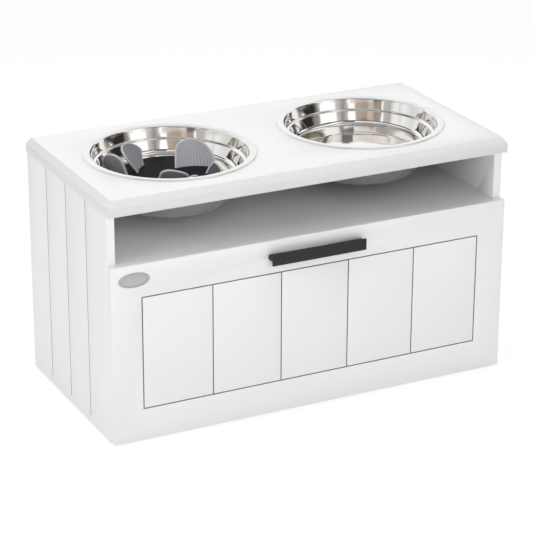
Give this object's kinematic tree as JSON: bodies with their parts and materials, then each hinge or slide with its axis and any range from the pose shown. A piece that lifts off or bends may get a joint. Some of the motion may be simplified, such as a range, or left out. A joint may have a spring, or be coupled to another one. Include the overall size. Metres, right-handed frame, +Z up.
{
  "type": "elevated dog feeder with storage drawer",
  "caption": "Elevated dog feeder: bevelled top board with drop-in steel bowls and a petal insert, over an open niche and a wide storage drawer on roller runners.",
  "frame": {"origin": "on the floor, midway between the two ends and midway between the handle's face and the back edge of the top board", "axes": "+X to the right of someone facing the drawer, +Y towards the back, +Z up"},
  "size_m": [0.6, 0.309, 0.3491],
  "materials": {
    "white_board": "smooth white satin paint on fibreboard",
    "zinc_steel": "zinc plated",
    "coated_steel": "white epoxy coating",
    "charcoal_metal": "satin charcoal coating",
    "nylon": "white nylon",
    "polished_steel": "polished stainless steel",
    "grey_silicone": "soft matt silicone with a fine ribbed surface"
  },
  "bodies": {
    "cabinet": {"top_board": "white_board", "left_side_panel": "white_board", "right_side_panel": "white_board", "back_panel": "white_board", "shelf_board": "white_board", "bottom_board": "white_board", "cabinet_cam_locks": "zinc_steel", "cabinet_cam_bolts": "zinc_steel", "top_brackets": "zinc_steel", "left_cabinet_runner": "coated_steel", "right_cabinet_runner": "coated_steel", "cabinet_roller_pins": "zinc_steel"},
    "drawer": {"drawer_front": "white_board", "drawer_left_side": "white_board", "drawer_right_side": "white_board", "drawer_back": "white_board", "drawer_bottom": "white_board", "drawer_cam_locks": "zinc_steel", "drawer_cam_bolts": "zinc_steel", "left_drawer_runner": "coated_steel", "right_drawer_runner": "coated_steel", "drawer_roller_pins": "zinc_steel", "handle": "charcoal_metal", "handle_screws": "zinc_steel"},
    "left_feeding_bowl": {"left_bowl": "polished_steel", "left_bowl_shell": "polished_steel"},
    "right_feeding_bowl": {"right_bowl": "polished_steel", "right_bowl_shell": "polished_steel"},
    "slow_feeder_insert": {"slow_feeder": "grey_silicone"},
    "left_cabinet_wheel": {"left_cabinet_roller": "nylon"},
    "right_cabinet_wheel": {"right_cabinet_roller": "nylon"},
    "left_drawer_wheel": {"left_drawer_roller": "nylon"},
    "right_drawer_wheel": {"right_drawer_roller": "nylon"}
  },
  "joints": [
    {"name": "drawer_slide", "type": "slide", "parent": "cabinet", "child": "drawer", "axis": [0, -1, 0], "range_m": [0, 0.2]},
    {"name": "left_bowl_lift", "type": "slide", "parent": "cabinet", "child": "left_feeding_bowl", "axis": [0, 0, 1], "range_m": [0, 0.12]},
    {"name": "right_bowl_lift", "type": "slide", "parent": "cabinet", "child": "right_feeding_bowl", "axis": [0, 0, 1], "range_m": [0, 0.12]},
    {"name": "slow_feeder_lift", "type": "slide", "parent": "left_feeding_bowl", "child": "slow_feeder_insert", "axis": [0, 0, 1], "range_m": [0, 0.08]},
    {"name": "left_cabinet_wheel_spin", "type": "hinge", "parent": "cabinet", "child": "left_cabinet_wheel", "pos_m": [-0.281, -0.114, 0.0422], "axis": [1, 0, 0], "range_deg": [0, 1451]},
    {"name": "right_cabinet_wheel_spin", "type": "hinge", "parent": "cabinet", "child": "right_cabinet_wheel", "pos_m": [0.281, -0.114, 0.0422], "axis": [1, 0, 0], "range_deg": [0, 1451]},
    {"name": "left_drawer_wheel_spin", "type": "hinge", "parent": "drawer", "child": "left_drawer_wheel", "pos_m": [-0.281, 0.11, 0.042], "axis": [1, 0, 0], "range_deg": [0, 1333]},
    {"name": "right_drawer_wheel_spin", "type": "hinge", "parent": "drawer", "child": "right_drawer_wheel", "pos_m": [0.281, 0.11, 0.042], "axis": [1, 0, 0], "range_deg": [0, 1333]}
  ],
  "couplings": [
    {"joint": "left_cabinet_wheel_spin", "follows": "drawer_slide", "rad_per_m": 126.58},
    {"joint": "right_cabinet_wheel_spin", "follows": "drawer_slide", "rad_per_m": 126.58},
    {"joint": "left_drawer_wheel_spin", "follows": "drawer_slide", "rad_per_m": 116.28},
    {"joint": "right_drawer_wheel_spin", "follows": "drawer_slide", "rad_per_m": 116.28}
  ]
}
